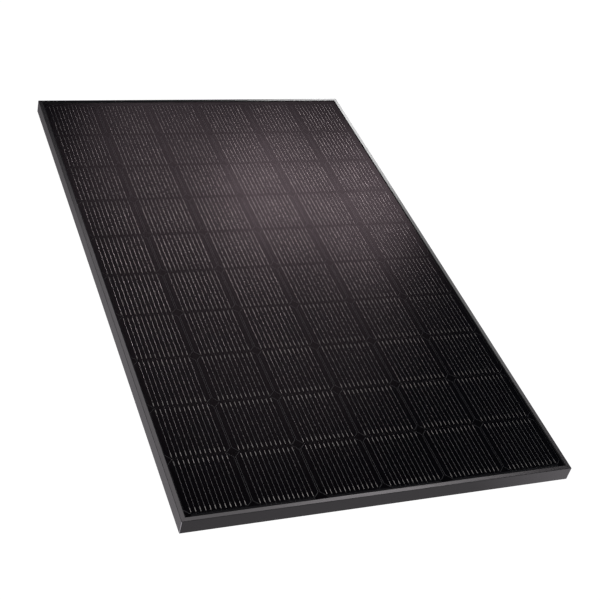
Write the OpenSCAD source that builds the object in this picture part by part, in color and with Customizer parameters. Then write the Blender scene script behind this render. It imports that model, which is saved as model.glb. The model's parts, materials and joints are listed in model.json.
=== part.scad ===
// Framed photovoltaic module: sixty full-size monocrystalline cells in six strings of ten, twelve wires to a cell,
// laminated behind tempered glass in a mitred black aluminium frame, with a junction box and two leads at the back.
// +X runs across the panel, +Y runs up it towards the junction box, +Z points out of the glass.
// The origin is the centre of the frame's back plane. Lengths are in millimetres.

/* [Overall] */
// Width across the outside of the frame
panel_w = 1016; // [1012:1:1040]
// Length along the outside of the frame
panel_l = 1700; // [1700:1:1740]
// Depth of the frame, from its back plane to the top of its lip
frame_h = 40; // [40:1:46]

/* [Frame rails] */
// Wall thickness of the extruded rail
wall_t = 1.5; // [1.2:0.1:1.6]
// Width of the lip that laps over the glass
lip_w = 11; // [10:0.5:11.5]
// Width of the long rails' back flange
long_flange_w = 32; // [30:1:36]
// Width of the short rails' back flange
short_flange_w = 25; // [22:1:30]
// Thickness of the back flange
flange_t = 1.8; // [1.5:0.1:2.2]
// Height of the underside of the rail's hollow chamber above the back plane
chamber_z = 14; // [12:1:16]
// Bevel on the rail's outer top edge
outer_bevel = 0.8; // [0.4:0.1:1]
// Bevel on the lip's inner top edge
lip_bevel = 0.5; // [0.3:0.1:0.8]
// Length of each leg of a corner key
key_leg = 46; // [30:1:60]

/* [Fixing holes] */
// Width of a mounting slot
slot_w = 9; // [7:0.5:9]
// End-to-end length of a mounting slot
slot_l = 14; // [12:0.5:16]
// Distance between the outer pair of slots on a long rail
outer_slot_spacing = 1400; // [1300:10:1450]
// Distance between the inner pair of slots on a long rail
inner_slot_spacing = 1000; // [800:10:1100]
// Distance from a rail's outer face to its slots and earthing holes
hole_inset = 20; // [18:0.5:21]
// Diameter of an earthing hole
earth_hole_d = 4.2; // [3.5:0.1:5]
// Distance between the earthing holes on a long rail
earth_hole_spacing = 1500; // [1470:10:1560]

/* [Laminate] */
// Thickness of the tempered glass
glass_t = 3.2; // [2.8:0.1:3.2]
// Thickness of each encapsulant sheet
encapsulant_t = 0.45; // [0.35:0.05:0.5]
// Thickness of the black backsheet
backsheet_t = 0.3; // [0.25:0.05:0.35]
// Silicone between the lip and the glass
seal_top_t = 0.5; // [0.4:0.1:0.8]
// Silicone between the backsheet and the rail's shelf
seal_bottom_t = 0.7; // [0.5:0.1:0.9]
// Distance from the frame's outer face to the edge of the laminate
laminate_inset = 4.5; // [4:0.5:5]

/* [Cells] */
// Side of a cell
cell_size = 161.7; // [158:0.1:162]
// Diameter of the ingot that rounds off a cell's corners
ingot_d = 211; // [208:1:214]
// Thickness of a cell
cell_t = 0.18; // [0.16:0.01:0.2]
// Gap between strings
cell_gap_x = 3.5; // [3:0.1:3.6]
// Gap between the cells of one string
cell_gap_y = 4; // [3:0.1:4.1]
// Spacing of the wires on a cell
wire_pitch = 11.84; // [11.5:0.01:12]
// Width of a wire
wire_w = 0.36; // [0.3:0.01:0.5]
// Thickness of a wire
wire_t = 0.3; // [0.25:0.01:0.35]
// Width of a cross-connecting ribbon
ribbon_w = 4; // [3:0.5:4.5]

/* [Junction box] */
// Width of the box across the panel
box_w = 118; // [112:1:126]
// Length of the box along the panel
box_l = 92; // [90:1:100]
// Distance from the top edge of the frame to the middle of the box
box_from_top = 98; // [96:1:120]
// Wall thickness of the box
box_wall = 2.5; // [2:0.1:3]

/* [Leads] */
// Diameter of the cable's jacket
cable_d = 6; // [5.5:0.1:6]
// Diameter of the cable's copper core
core_d = 2.8; // [2.4:0.1:2.8]
// Distance from the panel's centre line to the long stretch of each lead
lead_x = 400; // [380:5:410]
// Radius of the lead's bend
bend_r = 50; // [40:5:60]
// Length of cable between the bend and the lead's middle joint
lead_upper = 250; // [200:10:280]
// Length of cable between the middle joint and the back of the connector
lead_lower = 300; // [240:10:320]

/* [Hidden] */
$fn = 48;

// Counts
columns = 6;
rows = 10;
wires = 12;

// Heights of the laminate's layers, from the lip down
skin = 0.01;
lip_z = frame_h - wall_t;
glass_top = lip_z - seal_top_t;
glass_bottom = glass_top - glass_t;
front_wire_top = glass_bottom - encapsulant_t - skin;
front_wire_z = front_wire_top - wire_t;
cell_top = front_wire_z - skin;
cell_z = cell_top - cell_t;
rear_wire_z = cell_z - skin - wire_t;
rear_sheet_top = rear_wire_z - skin;
backsheet_top = rear_sheet_top - encapsulant_t;
laminate_z = backsheet_top - backsheet_t;
shelf_z = laminate_z - seal_bottom_t;
laminate_w = panel_w - 2 * laminate_inset;
laminate_l = panel_l - 2 * laminate_inset;

// Cell layout
pitch_x = cell_size + cell_gap_x;
pitch_y = cell_size + cell_gap_y;
cells_l = rows * pitch_y - cell_gap_y;
wire_end_inset = 3;
link_y = cells_l / 2 + 2.5;
output_y = link_y + ribbon_w + 1.5;
rim_w = 5.5;

// Ribbon tails into the junction box
tail_spacing = 22;
tail_w = 5;
tail_t = 0.15;
tail_z = rear_wire_z - 0.02 - tail_t;

// Junction box, with heights below its face against the panel
adhesive_t = 1;
box_y = panel_l / 2 - box_from_top;
box_top = laminate_z - adhesive_t;
box_corner_r = 8;
box_floor_t = 2;
box_rim_drop = 17.3;
cavity_w = box_w - 2 * box_wall;
cavity_l = box_l - 2 * box_wall;
gasket_t = 1;
lid_t = 2.5;
lid_top_drop = box_rim_drop + gasket_t;
lid_bottom_drop = lid_top_drop + lid_t;
hinge_drop = lid_top_drop + lid_t / 2;
hinge_y = -box_l / 2 - 4.5;
hinge_x = 38;
hinge_pin_r = 1.6;
hinge_knuckle_l = 7.6;
snap_x = 30;
snap_drop = box_rim_drop - 5;
window_y = 30;
bar_drop = 5.3;
bar_t = 1;
bar_w = 10;

// Leads
cable_r = cable_d / 2;
core_r = core_d / 2;
cable_z = laminate_z - 11.3;
cable_drop = box_top - cable_z;
boss_r = 6.5;
boss_l = 12;
boss_bore_r = 5;
boot_flange_t = 2.5;
boot_end_x = box_w / 2 + 17;
swing_x = boot_end_x + 3;
joint_gap = 1;
bend_x = lead_x - bend_r;
bend_y = box_y - bend_r;
mid_y = bend_y - lead_upper;
connector_y = mid_y - lead_lower;
running_gap = 0.05;
jacket_bore_r = core_r + running_gap;

// Connectors, measured forwards from the back of the nut
nut_l = 20;
nut_r = 9;
nut_rib_r = 10;
spigot_r = 7.6;
spigot_z = 9;
collar_z = 21;
collar_r = 9;
shell_z = 27;
clamp_z = 4.2;
clamp_l = 11.8;
seal_z = clamp_z + clamp_l + 0.5;
cable_end_z = 24;
core_depth = 6.5;
contact_z = cable_end_z + 0.8;
contact_bore_r = 3;
pin_r = 2;
nose_r = 4.75;
nose_step_t = 1.4;
latch_w = 4.4;

// ---- Shared shapes ----

module rounded_slab(w, l, h, r) {
    union() {
        translate([-w / 2 + r, -l / 2, 0]) cube([w - 2 * r, l, h]);
        translate([-w / 2, -l / 2 + r, 0]) cube([w, l - 2 * r, h]);
        for (x = [-1, 1], y = [-1, 1])
            translate([x * (w / 2 - r), y * (l / 2 - r), 0]) cylinder(h = h, r = r);
    }
}

module slot_cutter(w, l, h) {
    union() {
        for (x = [-1, 1]) translate([x * (l - w) / 2, 0, 0]) cylinder(h = h, d = w, center = true);
        cube([l - w, w, h], center = true);
    }
}

module frame_block(inset, z_low, z_high) {
    translate([-panel_w / 2 + inset, -panel_l / 2 + inset, z_low])
        cube([panel_w - 2 * inset, panel_l - 2 * inset, z_high - z_low]);
}

module both_sides() {
    children();
    mirror([1, 0, 0]) children();
}

// ---- Frame ----

module rail_profile(flange_w) {
    polygon([
        [0, 0], [flange_w, 0], [flange_w, flange_t], [wall_t, flange_t], [wall_t, chamber_z],
        [lip_w, chamber_z], [lip_w, shelf_z], [wall_t, shelf_z], [wall_t, lip_z], [lip_w, lip_z],
        [lip_w, frame_h - lip_bevel], [lip_w - lip_bevel, frame_h], [outer_bevel, frame_h],
        [0, frame_h - outer_bevel]]);
}

module chamber_profile() {
    translate([wall_t, chamber_z + wall_t])
        square([lip_w - 2 * wall_t, shelf_z - chamber_z - 2 * wall_t]);
}

// A rail lies along X with its outer face on Y = 0 and its flange towards +Y, mitred at both ends.
module rail(length, flange_w) {
    mitre = flange_w + 5;
    difference() {
        intersection() {
            rotate([90, 0, 90]) linear_extrude(height = length, center = true) rail_profile(flange_w);
            linear_extrude(height = frame_h) polygon([
                [-length / 2, 0], [length / 2, 0], [length / 2 - mitre, mitre], [-length / 2 + mitre, mitre]]);
        }
        rotate([90, 0, 90]) linear_extrude(height = length + 2, center = true) chamber_profile();
    }
}

module long_rail() {
    color([0.16, 0.16, 0.17]) difference() {
        rail(panel_l, long_flange_w);
        for (spacing = [outer_slot_spacing, inner_slot_spacing], side = [-1, 1])
            translate([side * spacing / 2, hole_inset, 0]) slot_cutter(slot_w, slot_l, 4 * flange_t);
        for (side = [-1, 1])
            translate([side * earth_hole_spacing / 2, hole_inset, 0])
                cylinder(h = 4 * flange_t, d = earth_hole_d, center = true);
    }
}

module short_rail() {
    drain_x = panel_w / 2 - 108;
    drain_inset = 7;
    drain_w = 4;
    drain_l = 8;
    color([0.16, 0.16, 0.17]) difference() {
        rail(panel_w, short_flange_w);
        for (side = [-1, 1])
            translate([side * drain_x, drain_inset, 0]) slot_cutter(drain_w, drain_l, 4 * flange_t);
    }
}

module frame_rail_left() { translate([-panel_w / 2, 0, 0]) rotate([0, 0, -90]) long_rail(); }
module frame_rail_right() { translate([panel_w / 2, 0, 0]) rotate([0, 0, 90]) long_rail(); }
module frame_rail_bottom() { translate([0, -panel_l / 2, 0]) short_rail(); }
module frame_rail_top() { translate([0, panel_l / 2, 0]) rotate([0, 0, 180]) short_rail(); }

// One leg of a corner key, with shallow teeth that grip the chamber.
module key_leg_bar() {
    slack = 0.1;
    tooth_pitch = 8;
    tooth_depth = 0.6;
    width = lip_w - 2 * wall_t - 2 * slack;
    height = shelf_z - chamber_z - 2 * wall_t - 2 * slack;
    translate([wall_t + slack, wall_t + slack, chamber_z + wall_t + slack]) difference() {
        cube([key_leg, width, height]);
        for (x = [18 : tooth_pitch : key_leg - 4], y = [0, width])
            translate([x, y, height / 2]) rotate([0, 0, 45])
                cube([tooth_depth * 1.4, tooth_depth * 1.4, height + 1], center = true);
    }
}

module corner_keys() {
    color([0.72, 0.73, 0.75])
        for (right = [0, 1], top = [0, 1])
            mirror([right, 0, 0]) mirror([0, top, 0]) translate([-panel_w / 2, -panel_l / 2, 0]) union() {
                key_leg_bar();
                mirror([1, -1, 0]) key_leg_bar();
            }
}

module frame_seal() {
    color([0.05, 0.05, 0.05]) difference() {
        frame_block(wall_t, shelf_z, lip_z);
        frame_block(laminate_inset, laminate_z, glass_top);
        frame_block(lip_w - lip_bevel, 0, frame_h);
    }
}

// ---- Laminate ----

module laminate_sheet(z, t) {
    translate([0, 0, z]) linear_extrude(height = t) square([laminate_w, laminate_l], center = true);
}

module front_glass() { color([0.6, 0.7, 0.72, 0.25]) laminate_sheet(glass_bottom, glass_t); }

module front_encapsulant() {
    color([0.9, 0.9, 0.88, 0.2]) laminate_sheet(front_wire_top + skin, encapsulant_t);
}

// Openings that let the four ribbon tails down into the junction box.
module tail_slits(z_low, z_high) {
    for (i = [-1.5 : 1 : 1.5])
        translate([i * tail_spacing - tail_w / 2 - 1, box_y + window_y - 2, z_low])
            cube([tail_w + 2, 4, z_high - z_low]);
}

module rear_encapsulant() {
    lane_l = output_y + ribbon_w + 0.5 - box_y - window_y;
    color([0.9, 0.9, 0.88, 0.2]) difference() {
        union() {
            laminate_sheet(backsheet_top, encapsulant_t);
            difference() {
                frame_block(laminate_inset, rear_sheet_top, front_wire_top + skin);
                frame_block(laminate_inset + rim_w, 0, frame_h);
            }
        }
        tail_slits(laminate_z - 1, rear_sheet_top + skin);
        for (i = [-1.5 : 1 : 1.5])
            translate([i * tail_spacing - tail_w / 2 - 0.5, box_y + window_y, tail_z - 0.02])
                cube([tail_w + 1, lane_l, rear_sheet_top - tail_z + 0.1]);
    }
}

module backsheet() {
    color([0.03, 0.03, 0.035]) difference() {
        laminate_sheet(laminate_z, backsheet_t);
        tail_slits(laminate_z - 1, backsheet_top + 1);
    }
}

// ---- Cells and wires ----

function column_x(n) = (n - (columns + 1) / 2) * pitch_x;
function row_y(j) = (j - (rows - 1) / 2) * pitch_y;

module cell() {
    intersection() {
        translate([-cell_size / 2, -cell_size / 2, 0]) cube([cell_size, cell_size, cell_t]);
        translate([0, 0, -1]) cylinder(h = cell_t + 2, d = ingot_d, $fn = 96);
    }
}

module cell_string(n) {
    color([0.07, 0.07, 0.11])
        for (j = [0 : rows - 1]) translate([column_x(n), row_y(j), cell_z]) cell();
}

// A wire from y_low to y_high that lies on the cells' front before step_y and under them after it.
module step_wire(x, y_low, step_y, y_high) {
    half_step = cell_gap_y / 2 - 0.4;
    translate([x - wire_w / 2, 0, 0]) rotate([90, 0, 90]) linear_extrude(height = wire_w) polygon([
        [y_low, front_wire_z], [step_y - half_step, front_wire_z], [step_y + half_step, rear_wire_z],
        [y_high, rear_wire_z], [y_high, rear_wire_z + wire_t], [step_y + half_step, rear_wire_z + wire_t],
        [step_y - half_step, front_wire_top], [y_low, front_wire_top]]);
}

module end_wire(x, y_low, y_high, z) {
    translate([x - wire_w / 2, y_low, z]) cube([wire_w, y_high - y_low, wire_t]);
}

// String n as it lies when its fronts face the bottom ribbon; odd strings are turned end for end.
module wire_run(top_reach, bottom_reach) {
    end_in = cell_size / 2 - wire_end_inset;
    for (k = [0 : wires - 1]) {
        x = (k - (wires - 1) / 2) * wire_pitch;
        for (j = [0 : rows - 2])
            step_wire(x, row_y(j) - end_in, row_y(j) + pitch_y / 2, row_y(j + 1) + end_in);
        end_wire(x, -bottom_reach, row_y(0) + end_in, rear_wire_z);
        end_wire(x, row_y(rows - 1) - end_in, top_reach, front_wire_z);
    }
}

module string_wires(n) {
    is_odd = n % 2 == 1;
    is_output = n == 1 || n == columns;
    link_reach = link_y + ribbon_w;
    top_reach = is_output ? output_y + ribbon_w : link_reach;
    color([0.75, 0.75, 0.76]) translate([column_x(n), 0, 0])
        if (is_odd) wire_run(top_reach, link_reach);
        else mirror([0, 1, 0]) wire_run(link_reach, top_reach);
}

module ribbon(x_low, x_high, y) {
    translate([x_low, y, cell_z + skin / 2]) cube([x_high - x_low, ribbon_w, cell_t - skin]);
}

// The stretch of a ribbon that dives behind the cells and comes out at the junction box's terminals.
module ribbon_tail(x, y_end) {
    foot_z = box_top - bar_drop;
    foot_l = 7;
    fold_y = box_y + window_y;
    translate([x - tail_w / 2, 0, 0]) union() {
        translate([0, y_end - 1, tail_z]) cube([tail_w, 1, cell_z + cell_t / 2 - tail_z]);
        translate([0, fold_y, tail_z]) cube([tail_w, y_end - fold_y, tail_t]);
        translate([0, fold_y, foot_z]) cube([tail_w, tail_t, tail_z + tail_t - foot_z]);
        translate([0, fold_y - foot_l, foot_z]) cube([tail_w, foot_l + tail_t, tail_t]);
    }
}

module bus_ribbons_bottom() {
    reach = (wires - 1) / 2 * wire_pitch + 2;
    color([0.04, 0.04, 0.045])
        for (n = [1 : 2 : columns - 1])
            ribbon(column_x(n) - reach, column_x(n + 1) + reach, -link_y - ribbon_w);
}

module bus_ribbons_top() {
    reach = (wires - 1) / 2 * wire_pitch + 2;
    color([0.04, 0.04, 0.045]) both_sides() {
        union() {
            ribbon(column_x(2) - reach, -tail_spacing / 2 + tail_w / 2, link_y);
            ribbon_tail(-tail_spacing / 2, link_y + ribbon_w);
        }
        union() {
            ribbon(column_x(1) - reach, -tail_spacing * 1.5 + tail_w / 2, output_y);
            ribbon_tail(-tail_spacing * 1.5, output_y + ribbon_w);
        }
    }
}

module rating_label() {
    label_t = 0.12;
    label_w = 120;
    label_l = 70;
    label_y = box_y - box_l / 2 - 110;
    color([0.86, 0.86, 0.87]) translate([0, label_y, laminate_z - label_t - skin])
        rounded_slab(label_w, label_l, label_t, 3);
}

// ---- Junction box, drawn with Z = 0 on its face against the panel ----

module at_box() { translate([0, box_y, box_top]) children(); }

module along_x() { rotate([0, 90, 0]) children(); }

// A wall that follows a rounded rectangle.
module rounded_ring(w, l, h, r, wall) {
    difference() {
        rounded_slab(w, l, h, r);
        translate([0, 0, -1]) rounded_slab(w - 2 * wall, l - 2 * wall, h + 2, r - wall);
    }
}

module box_adhesive() {
    inset = 3;
    opening_w = 92;
    opening_l = 12;
    color([0.1, 0.1, 0.1]) at_box() translate([0, 0, skin]) difference() {
        rounded_slab(box_w - 2 * inset, box_l - 2 * inset, adhesive_t - 2 * skin, box_corner_r - 2);
        translate([-opening_w / 2, window_y - opening_l / 2, -1])
            cube([opening_w, opening_l, adhesive_t + 2]);
    }
}

// An ear around the lid's hinge pin, with a web that joins it to the wall above the rim.
module hinge_lug(x) {
    lug_t = 3;
    lug_r = 3.5;
    lug_h = 7.5;
    web_low = hinge_drop - box_rim_drop + 0.3;
    translate([x - lug_t / 2, hinge_y, -hinge_drop]) union() {
        along_x() cylinder(h = lug_t, r = lug_r);
        translate([0, -lug_r, 0]) cube([lug_t, 2 * lug_r, lug_h]);
        translate([0, 0, web_low]) cube([lug_t, -box_l / 2 - hinge_y + 1, lug_h - web_low]);
    }
}

// The tray, its cable bosses, the hinge's ears, the terminals' posts and the web behind the window.
module box_solid() {
    lug_offset = 5.5;
    post_r = 3;
    post_h = bar_drop - box_floor_t;
    web_t = 1.2;
    web_y = window_y + 8.5;
    web_drop = 11;
    union() {
        difference() {
            translate([0, 0, -box_rim_drop]) rounded_slab(box_w, box_l, box_rim_drop, box_corner_r);
            translate([0, 0, -box_rim_drop - 1])
                rounded_slab(cavity_w, cavity_l, box_rim_drop + 1 - box_floor_t, box_corner_r - box_wall);
        }
        both_sides() {
            translate([box_w / 2 - 1, 0, -cable_drop]) along_x() cylinder(h = boss_l + 1, r = boss_r);
            for (dx = [-lug_offset, lug_offset]) hinge_lug(hinge_x + dx);
        }
        for (i = [-1.5 : 1 : 1.5], y = [6, 19])
            translate([i * tail_spacing, y, -bar_drop]) cylinder(h = post_h + 0.5, r = post_r);
        translate([-cavity_w / 2 - 1, web_y, -web_drop]) cube([cavity_w + 2, web_t, web_drop - 1]);
    }
}

module box_base() {
    window_w = 88;
    window_l = 8;
    notch_r = 0.9;
    notch_l = 14;
    color([0.06, 0.06, 0.065]) at_box() difference() {
        box_solid();
        translate([-window_w / 2, window_y - window_l / 2, -box_floor_t - 1])
            cube([window_w, window_l, box_floor_t + 2]);
        both_sides() {
            translate([cavity_w / 2 - 5, 0, -cable_drop]) along_x()
                cylinder(h = box_wall + boss_l + 6, r = boss_bore_r);
            translate([hinge_x, hinge_y, -hinge_drop]) along_x()
                cylinder(h = 20, r = hinge_pin_r + running_gap, center = true);
            translate([snap_x, box_l / 2, -snap_drop]) along_x()
                cylinder(h = notch_l, r = notch_r, center = true);
        }
    }
}

module box_gasket() {
    inset = 0.3;
    gasket_w = 1.6;
    color([0.5, 0.5, 0.5]) at_box() translate([0, 0, -lid_top_drop + skin])
        rounded_ring(box_w - 2 * inset, box_l - 2 * inset, gasket_t - 0.1, box_corner_r - inset, gasket_w);
}

// The lid's inner lip, which stands just inside the tray's wall.
module lid_rib() {
    gap = 0.6;
    rib_t = 1.5;
    rib_h = 3.5;
    translate([0, 0, -lid_top_drop - 0.5])
        rounded_ring(
            cavity_w - 2 * gap, cavity_l - 2 * gap, rib_h + 0.5, box_corner_r - box_wall - gap, rib_t);
}

// A sprung tongue with a small ridge that clicks into the notch in the tray's wall.
module lid_tongue() {
    tongue_w = 12;
    tongue_t = 1.8;
    tongue_h = 7.5;
    tongue_gap = 0.6;
    ridge_r = 0.4;
    ridge_l = 10;
    translate([snap_x, box_l / 2, 0]) union() {
        translate([-tongue_w / 2, tongue_gap, -lid_bottom_drop]) cube([tongue_w, tongue_t, tongue_h + lid_t]);
        translate([-tongue_w / 2, -1, -lid_bottom_drop]) cube([tongue_w, 1 + tongue_gap + tongue_t / 2, lid_t]);
        translate([0, tongue_gap, -snap_drop]) along_x() cylinder(h = ridge_l, r = ridge_r, center = true);
    }
}

module lid_knuckle() {
    knuckle_r = 3;
    pin_l = 14;
    translate([hinge_x, hinge_y, 0]) union() {
        translate([-hinge_knuckle_l / 2, 0, -lid_bottom_drop])
            cube([hinge_knuckle_l, -box_l / 2 - hinge_y + 2, lid_t]);
        translate([0, 0, -hinge_drop]) along_x() cylinder(h = hinge_knuckle_l, r = knuckle_r, center = true);
        translate([0, 0, -hinge_drop]) along_x() cylinder(h = pin_l, r = hinge_pin_r, center = true);
    }
}

module box_lid() {
    groove_l = 78;
    groove_w = 1.6;
    groove_depth = 0.4;
    color([0.07, 0.07, 0.075]) at_box() union() {
        difference() {
            translate([0, 0, -lid_bottom_drop]) rounded_slab(box_w, box_l - 0.4, lid_t, box_corner_r);
            for (y = [-24 : 12 : 24])
                translate([0, y, -lid_bottom_drop]) cube([groove_l, groove_w, 2 * groove_depth], center = true);
        }
        lid_rib();
        both_sides() {
            lid_knuckle();
            lid_tongue();
        }
    }
}

module terminal_bar(x) {
    bar_l = 56;
    translate([x - bar_w / 2, -20, -bar_drop - bar_t]) cube([bar_w, bar_l, bar_t]);
}

// The outer bar's foot and crimp barrel, which the lead's core goes into.
module terminal_barrel(x_inner) {
    barrel_l = 8;
    barrel_r = 2.4;
    web_t = 2;
    difference() {
        union() {
            translate([x_inner - barrel_l, -barrel_r, -bar_drop - bar_t])
                cube([barrel_l + 1, 2 * barrel_r, bar_t]);
            translate([x_inner - barrel_l, -web_t / 2, -cable_drop])
                cube([barrel_l, web_t, cable_drop - bar_drop - bar_t / 2]);
            translate([x_inner - barrel_l, 0, -cable_drop + skin]) along_x()
                cylinder(h = barrel_l, r = barrel_r);
        }
        translate([x_inner - barrel_l - 1, 0, -cable_drop + skin]) along_x()
            cylinder(h = barrel_l + 2, r = core_r + running_gap);
    }
}

module terminal_bars() {
    outer_x = -tail_spacing * 1.5;
    color([0.8, 0.78, 0.72]) at_box() translate([0, 0, -skin]) both_sides() {
        terminal_bar(-tail_spacing / 2);
        union() {
            terminal_bar(outer_x);
            terminal_barrel(outer_x - bar_w / 2);
        }
    }
}

module bypass_diodes() {
    body_l = 9.1;
    body_r = 4.5;
    wire_r = 0.65;
    diode_y = -12;
    diode_drop = bar_drop + bar_t + 2 * skin + wire_r;
    color([0.12, 0.12, 0.12]) at_box()
        for (i = [-1 : 1]) translate([i * tail_spacing, diode_y, -diode_drop]) along_x() union() {
            cylinder(h = body_l, r = body_r, center = true);
            cylinder(h = tail_spacing - 2, r = wire_r, center = true);
        }
}

// A rubber sleeve in each boss, with a flange against the boss's end.
module cable_boots() {
    start_x = box_w / 2 - 3;
    color([0.08, 0.08, 0.08]) at_box() both_sides() translate([0, 0, -cable_drop]) along_x()
        difference() {
            union() {
                translate([0, 0, start_x]) cylinder(h = boot_end_x - start_x, r = boss_bore_r - skin);
                translate([0, 0, box_w / 2 + boss_l + skin]) cylinder(h = boot_flange_t, r = boss_r);
            }
            translate([0, 0, start_x - 1]) cylinder(h = boot_end_x - start_x + 2, r = cable_r + running_gap);
        }
}

// ---- Leads, drawn on the +X side, which is the negative one ----

module tube(length, r_out, r_in) {
    difference() {
        cylinder(h = length, r = r_out);
        if (r_in > 0) translate([0, 0, -1]) cylinder(h = length + 2, r = r_in);
    }
}

module elbow(r_out, r_in) {
    rotate_extrude(angle = 90, $fn = 96) translate([bend_r, 0]) difference() {
        circle(r = r_out);
        if (r_in > 0) circle(r = r_in);
    }
}

// Inside the junction box and its boot.
module lead_stub(x_start, r_out, r_in) {
    translate([x_start, box_y, cable_z]) along_x() tube(swing_x - joint_gap - x_start, r_out, r_in);
}

// From the boot round the bend to the middle joint.
module lead_run(r_out, r_in) {
    start_x = swing_x + joint_gap;
    union() {
        translate([start_x, box_y, cable_z]) along_x() tube(bend_x - start_x, r_out, r_in);
        translate([bend_x, bend_y, cable_z]) elbow(r_out, r_in);
        translate([lead_x, bend_y, cable_z]) rotate([90, 0, 0]) tube(lead_upper - joint_gap, r_out, r_in);
    }
}

// From the middle joint into the connector.
module lead_tail(depth, r_out, r_in) {
    translate([lead_x, mid_y - joint_gap, cable_z]) rotate([90, 0, 0])
        tube(lead_lower + depth - joint_gap, r_out, r_in);
}

module jacket_stub() { color([0.05, 0.05, 0.05]) lead_stub(cavity_w / 2 - 6, cable_r, jacket_bore_r); }
module jacket_run() { color([0.05, 0.05, 0.05]) lead_run(cable_r, jacket_bore_r); }
module jacket_tail() { color([0.05, 0.05, 0.05]) lead_tail(cable_end_z, cable_r, jacket_bore_r); }
module core_stub() { color([0.8, 0.5, 0.3]) lead_stub(tail_spacing * 1.5 + bar_w / 2 + 1, core_r, 0); }
module core_run() { color([0.8, 0.5, 0.3]) lead_run(core_r, 0); }
module core_tail() { color([0.8, 0.5, 0.3]) lead_tail(cable_end_z + core_depth, core_r, 0); }

// ---- Connectors, drawn along Z from the back of the nut and then laid along -Y ----

module at_connector() { translate([lead_x, connector_y, cable_z]) rotate([90, 0, 0]) children(); }

module connector_nut() {
    ribs = 10;
    rib_w = 2.4;
    rib_inset = 3;
    chamfer = 2;
    color([0.05, 0.05, 0.055]) difference() {
        union() {
            translate([0, 0, chamfer]) cylinder(h = nut_l - chamfer, r = nut_r);
            cylinder(h = chamfer + skin, r1 = nut_r - chamfer, r2 = nut_r);
            for (i = [0 : ribs - 1]) rotate([0, 0, i * 360 / ribs])
                translate([nut_r - 1, -rib_w / 2, rib_inset])
                    cube([nut_rib_r - nut_r + 1, rib_w, nut_l - rib_inset - 2]);
        }
        translate([0, 0, -1]) cylinder(h = nut_l, r = cable_r + 0.6);
        translate([0, 0, clamp_z - 0.2]) cylinder(h = nut_l, r = spigot_r + running_gap);
    }
}

module connector_clamp() {
    clamp_r = 5.8;
    fingers = 3;
    root_l = 3;
    color([0.85, 0.85, 0.82]) translate([0, 0, clamp_z]) difference() {
        cylinder(h = clamp_l, r = clamp_r);
        translate([0, 0, -1]) cylinder(h = clamp_l + 2, r = cable_r + 0.1);
        for (i = [0 : fingers - 1]) rotate([0, 0, i * 360 / fingers])
            translate([0, -0.5, root_l]) cube([clamp_r + 2, 1, clamp_l]);
    }
}

module connector_cable_seal() {
    color([0.55, 0.12, 0.1]) translate([0, 0, seal_z]) tube(5.5, 5.9, cable_r + running_gap);
}

// The part both connectors share: threaded spigot, collar, and the bores for cable, seal and clamp.
module connector_back(front_z) {
    seal_bore_r = 6;
    seal_bore_l = 13;
    flat_w = 4;
    flat_t = 0.6;
    difference() {
        union() {
            translate([0, 0, spigot_z]) cylinder(h = collar_z - spigot_z, r = spigot_r);
            translate([0, 0, collar_z]) cylinder(h = shell_z - collar_z, r = collar_r);
            for (a = [0 : 60 : 300]) rotate([0, 0, a])
                translate([collar_r - 1, -flat_w / 2, collar_z + 1])
                    cube([1 + flat_t, flat_w, shell_z - collar_z - 2]);
            children();
        }
        translate([0, 0, spigot_z - 1]) cylinder(h = seal_bore_l + 1, r = seal_bore_r);
        translate([0, 0, collar_z]) cylinder(h = cable_end_z - collar_z + 0.5, r = cable_r + 0.1);
        translate([0, 0, cable_end_z]) cylinder(h = front_z - cable_end_z + 1, r = contact_bore_r);
    }
}

module plug_body() {
    shell_l = 23;
    shell_r = 8.2;
    mouth_r = 6.4;
    mouth_w = 17.6;
    mouth_h = 6.8;
    bulge_w = 20;
    bulge_h = 9;
    floor_t = 3;
    window_w = 4.8;
    window_l = 5.8;
    color([0.05, 0.05, 0.055]) difference() {
        connector_back(shell_z + floor_t + 1) union() {
            translate([0, 0, shell_z]) cylinder(h = shell_l, r = shell_r);
            translate([-bulge_w / 2, -bulge_h / 2, shell_z]) cube([bulge_w, bulge_h, shell_l - 3]);
        }
        translate([0, 0, shell_z + floor_t]) {
            cylinder(h = shell_l, r = mouth_r);
            translate([-mouth_w / 2, -mouth_h / 2, 0]) cube([mouth_w, mouth_h, shell_l]);
        }
        for (side = [-1, 1])
            translate([side * bulge_w / 2 - 3, -window_w / 2, shell_z + 7]) cube([6, window_w, window_l]);
    }
}

module plug_pin() {
    barrel_l = 6.8;
    barrel_r = 2.6;
    pin_l = 10.3;
    tip_l = 1.5;
    tip_r = 1.1;
    pin_z = contact_z + barrel_l - 0.4;
    color([0.82, 0.82, 0.8]) union() {
        translate([0, 0, contact_z]) tube(barrel_l, barrel_r, jacket_bore_r);
        translate([0, 0, pin_z]) cylinder(h = pin_l, r = pin_r);
        translate([0, 0, pin_z + pin_l]) cylinder(h = tip_l, r1 = pin_r, r2 = tip_r);
    }
}

module socket_body() {
    nose_l = 19.5;
    tip_l = 1;
    tip_r = 4.1;
    step_r = 5.9;
    color([0.05, 0.05, 0.055]) connector_back(shell_z + nose_l) union() {
        translate([0, 0, shell_z]) cylinder(h = nose_l - tip_l, r = nose_r);
        translate([0, 0, shell_z + nose_l - tip_l]) cylinder(h = tip_l, r1 = nose_r, r2 = tip_r);
        translate([0, 0, shell_z]) cylinder(h = nose_step_t, r = step_r);
    }
}

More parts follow.
